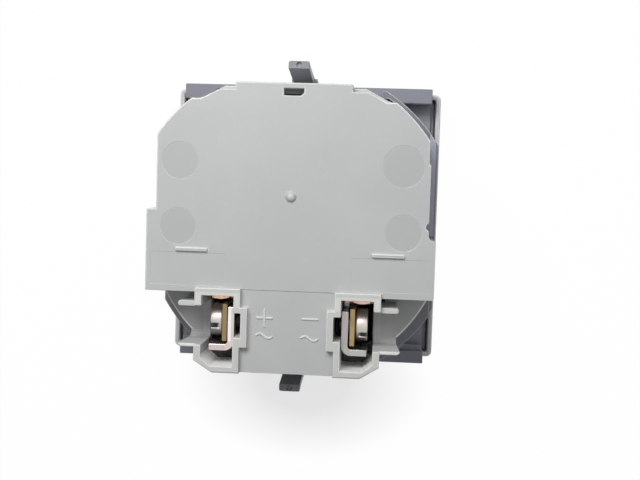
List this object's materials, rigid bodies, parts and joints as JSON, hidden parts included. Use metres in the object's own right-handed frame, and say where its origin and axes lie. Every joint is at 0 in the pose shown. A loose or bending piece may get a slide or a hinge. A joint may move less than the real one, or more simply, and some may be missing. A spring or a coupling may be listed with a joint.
{
  "type": "panel hour meter",
  "caption": "Square panel hour meter with a round-cornered housing, sliding latch clamp frame, number drums, small motor and screw terminals.",
  "frame": {"origin": "centre of the front bezel face, which lies on the floor", "axes": "+Z from the front face to the terminals, +Y from the terminals to the plain end, X along the two terminals"},
  "size_m": [0.048, 0.0534, 0.037],
  "materials": {
    "grey_plastic": "fine satin moulding",
    "clear_window": "clear moulded window",
    "dial_print": "printed dial",
    "black_plastic": "fine satin moulding",
    "zinc_steel": "zinc plated",
    "brass_sheet": "stamped sheet",
    "lead_sleeve": "insulated lead",
    "frame_plastic": "moulded plate",
    "shaft_steel": "ground rod",
    "stator_steel": "pressed sheet",
    "bobbin_plastic": "moulded bobbin",
    "copper_wire": "enamelled winding",
    "magnet": "sintered magnet",
    "gear_nylon": "moulded wheel",
    "drum_plastic": "moulded drum"
  },
  "bodies": {
    "case": {"front_bezel": "grey_plastic", "back_cover": "grey_plastic", "window_lens": "clear_window", "dial_plate": "dial_print", "main_housing": "black_plastic", "left_terminal_lug": "zinc_steel", "right_terminal_lug": "zinc_steel", "left_coil_lead": "lead_sleeve", "right_coil_lead": "lead_sleeve", "left_side_plate": "frame_plastic", "right_side_plate": "frame_plastic", "tie_rods": "shaft_steel", "gear_studs": "shaft_steel", "drum_shaft": "shaft_steel", "pinion_shaft": "shaft_steel", "left_stator_cup": "stator_steel", "right_stator_cup": "stator_steel", "coil_bobbin": "bobbin_plastic", "coil_winding": "copper_wire"},
    "clamp": {"clamp_frame": "black_plastic"},
    "upper_lever": {"upper_latch_lever": "black_plastic"},
    "lower_lever": {"lower_latch_lever": "black_plastic"},
    "left_clamp": {"left_clamp_plate": "brass_sheet"},
    "left_screw": {"left_terminal_screw": "zinc_steel"},
    "right_clamp": {"right_clamp_plate": "brass_sheet"},
    "right_screw": {"right_terminal_screw": "zinc_steel"},
    "rotor": {"rotor_magnet": "magnet", "rotor_shaft": "shaft_steel"},
    "gear_one": {"first_gear": "gear_nylon"},
    "gear_two": {"second_gear": "gear_nylon"},
    "gear_three": {"third_gear": "gear_nylon"},
    "drum_1": {"digit_drum_1": "drum_plastic", "drum_gear": "gear_nylon"},
    "drum_2": {"digit_drum_2": "drum_plastic"},
    "drum_3": {"digit_drum_3": "drum_plastic"},
    "drum_4": {"digit_drum_4": "drum_plastic"},
    "drum_5": {"digit_drum_5": "drum_plastic"},
    "drum_6": {"digit_drum_6": "drum_plastic"},
    "drum_7": {"digit_drum_7": "drum_plastic"},
    "pinion_1": {"transfer_pinion_1": "gear_nylon"},
    "pinion_2": {"transfer_pinion_2": "gear_nylon"},
    "pinion_3": {"transfer_pinion_3": "gear_nylon"},
    "pinion_4": {"transfer_pinion_4": "gear_nylon"},
    "pinion_5": {"transfer_pinion_5": "gear_nylon"},
    "pinion_6": {"transfer_pinion_6": "gear_nylon"}
  },
  "joints": [
    {"name": "clamp_slide", "type": "slide", "parent": "case", "child": "clamp", "axis": [0, 0, 1], "range_m": [0, 0.032]},
    {"name": "upper_lever_flex", "type": "hinge", "parent": "clamp", "child": "upper_lever", "pos_m": [0, 0.0237, 0.0097], "axis": [-1, 0, 0], "range_deg": [0, 8], "stiffness_Nm_per_rad": 0.02},
    {"name": "lower_lever_flex", "type": "hinge", "parent": "clamp", "child": "lower_lever", "pos_m": [0, -0.0237, 0.0097], "axis": [1, 0, 0], "range_deg": [0, 8], "stiffness_Nm_per_rad": 0.02},
    {"name": "left_clamp_travel", "type": "slide", "parent": "case", "child": "left_clamp", "axis": [-1, 0, 0], "range_m": [0, 0.0012]},
    {"name": "left_screw_turn", "type": "hinge", "parent": "left_clamp", "child": "left_screw", "pos_m": [-0.0115, -0.01485, 0.031], "axis": [-1, 0, 0], "range_deg": [0, 864]},
    {"name": "right_clamp_travel", "type": "slide", "parent": "case", "child": "right_clamp", "axis": [1, 0, 0], "range_m": [0, 0.0012]},
    {"name": "right_screw_turn", "type": "hinge", "parent": "right_clamp", "child": "right_screw", "pos_m": [0.0115, -0.01485, 0.031], "axis": [1, 0, 0], "range_deg": [0, 864]},
    {"name": "rotor_spin", "type": "hinge", "parent": "case", "child": "rotor", "pos_m": [0, 0.0085, 0.022], "axis": [1, 0, 0], "continuous": true},
    {"name": "gear_one_spin", "type": "hinge", "parent": "case", "child": "gear_one", "pos_m": [0, 0.0017, 0.02225], "axis": [1, 0, 0], "continuous": true},
    {"name": "gear_two_spin", "type": "hinge", "parent": "case", "child": "gear_two", "pos_m": [0, -0.00384, 0.01831], "axis": [1, 0, 0], "continuous": true},
    {"name": "gear_three_spin", "type": "hinge", "parent": "case", "child": "gear_three", "pos_m": [0, -0.00752, 0.01523], "axis": [1, 0, 0], "continuous": true},
    {"name": "drum_1_spin", "type": "hinge", "parent": "case", "child": "drum_1", "pos_m": [0, -0.002, 0.0106], "axis": [1, 0, 0], "continuous": true},
    {"name": "drum_2_spin", "type": "hinge", "parent": "case", "child": "drum_2", "pos_m": [0, -0.002, 0.0106], "axis": [1, 0, 0], "continuous": true},
    {"name": "drum_3_spin", "type": "hinge", "parent": "case", "child": "drum_3", "pos_m": [0, -0.002, 0.0106], "axis": [1, 0, 0], "continuous": true},
    {"name": "drum_4_spin", "type": "hinge", "parent": "case", "child": "drum_4", "pos_m": [0, -0.002, 0.0106], "axis": [1, 0, 0], "continuous": true},
    {"name": "drum_5_spin", "type": "hinge", "parent": "case", "child": "drum_5", "pos_m": [0, -0.002, 0.0106], "axis": [1, 0, 0], "continuous": true},
    {"name": "drum_6_spin", "type": "hinge", "parent": "case", "child": "drum_6", "pos_m": [0, -0.002, 0.0106], "axis": [1, 0, 0], "continuous": true},
    {"name": "drum_7_spin", "type": "hinge", "parent": "case", "child": "drum_7", "pos_m": [0, -0.002, 0.0106], "axis": [1, 0, 0], "continuous": true},
    {"name": "pinion_1_spin", "type": "hinge", "parent": "case", "child": "pinion_1", "pos_m": [0, -0.00895, 0.00807], "axis": [1, 0, 0], "continuous": true},
    {"name": "pinion_2_spin", "type": "hinge", "parent": "case", "child": "pinion_2", "pos_m": [0, -0.00895, 0.00807], "axis": [1, 0, 0], "continuous": true},
    {"name": "pinion_3_spin", "type": "hinge", "parent": "case", "child": "pinion_3", "pos_m": [0, -0.00895, 0.00807], "axis": [1, 0, 0], "continuous": true},
    {"name": "pinion_4_spin", "type": "hinge", "parent": "case", "child": "pinion_4", "pos_m": [0, -0.00895, 0.00807], "axis": [1, 0, 0], "continuous": true},
    {"name": "pinion_5_spin", "type": "hinge", "parent": "case", "child": "pinion_5", "pos_m": [0, -0.00895, 0.00807], "axis": [1, 0, 0], "continuous": true},
    {"name": "pinion_6_spin", "type": "hinge", "parent": "case", "child": "pinion_6", "pos_m": [0, -0.00895, 0.00807], "axis": [1, 0, 0], "continuous": true}
  ],
  "couplings": [
    {"joint": "gear_one_spin", "follows": "rotor_spin", "ratio": -0.13333},
    {"joint": "gear_two_spin", "follows": "rotor_spin", "ratio": 0.017778},
    {"joint": "gear_three_spin", "follows": "rotor_spin", "ratio": -0.0035556},
    {"joint": "drum_1_spin", "follows": "rotor_spin", "ratio": 0.00044444},
    {"joint": "drum_2_spin", "follows": "rotor_spin", "ratio": 0.000044444},
    {"joint": "drum_3_spin", "follows": "rotor_spin", "ratio": 0.0000044444},
    {"joint": "drum_4_spin", "follows": "rotor_spin", "ratio": 0.00000044444},
    {"joint": "drum_5_spin", "follows": "rotor_spin", "ratio": 0.000000044444},
    {"joint": "drum_6_spin", "follows": "rotor_spin", "ratio": 0.0000000044444},
    {"joint": "drum_7_spin", "follows": "rotor_spin", "ratio": 0.00000000044444},
    {"joint": "pinion_1_spin", "follows": "rotor_spin", "ratio": -0.00011111},
    {"joint": "pinion_2_spin", "follows": "rotor_spin", "ratio": -0.000011111},
    {"joint": "pinion_3_spin", "follows": "rotor_spin", "ratio": -0.0000011111},
    {"joint": "pinion_4_spin", "follows": "rotor_spin", "ratio": -0.00000011111},
    {"joint": "pinion_5_spin", "follows": "rotor_spin", "ratio": -0.000000011111},
    {"joint": "pinion_6_spin", "follows": "rotor_spin", "ratio": -0.0000000011111},
    {"joint": "left_screw_turn", "follows": "left_clamp_travel", "rad_per_m": 12566},
    {"joint": "right_screw_turn", "follows": "right_clamp_travel", "rad_per_m": 12566}
  ]
}
